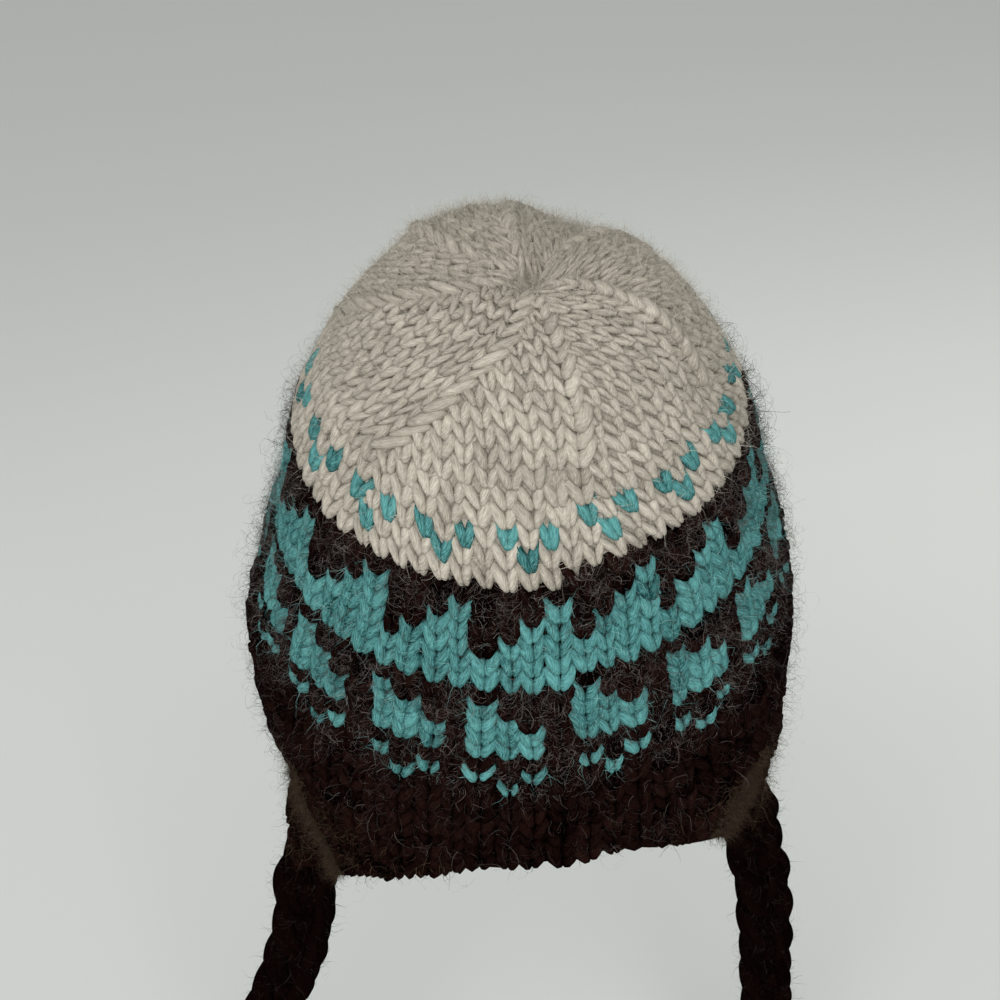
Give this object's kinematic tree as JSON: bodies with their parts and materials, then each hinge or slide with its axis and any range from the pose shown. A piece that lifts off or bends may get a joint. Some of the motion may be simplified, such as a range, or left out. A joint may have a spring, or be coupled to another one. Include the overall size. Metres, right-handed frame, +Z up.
{
  "type": "chullo hat",
  "caption": "Hand-knitted wool chullo with a cream crown, a brown and turquoise patterned band, ear flaps and braided ties with knotted ends",
  "frame": {"origin": "centre of the head opening, in the plane of the rim", "axes": "+Z up to the top of the crown, +Y to the wearer's face, +X to the wearer's right as seen from behind"},
  "size_m": [0.2784, 0.1994, 0.6201],
  "materials": {
    "cream": "soft hand-spun cream wool, stocking stitch",
    "brown": "soft hand-spun dark brown wool with turquoise colour-work on the band"
  },
  "bodies": {
    "root": {"crown": "cream", "band": "brown", "earflap_left": "brown", "earflap_right": "brown", "tie_left": "brown", "tie_right": "brown", "tie_end_left": "brown", "tie_end_right": "brown"}
  },
  "joints": []
}
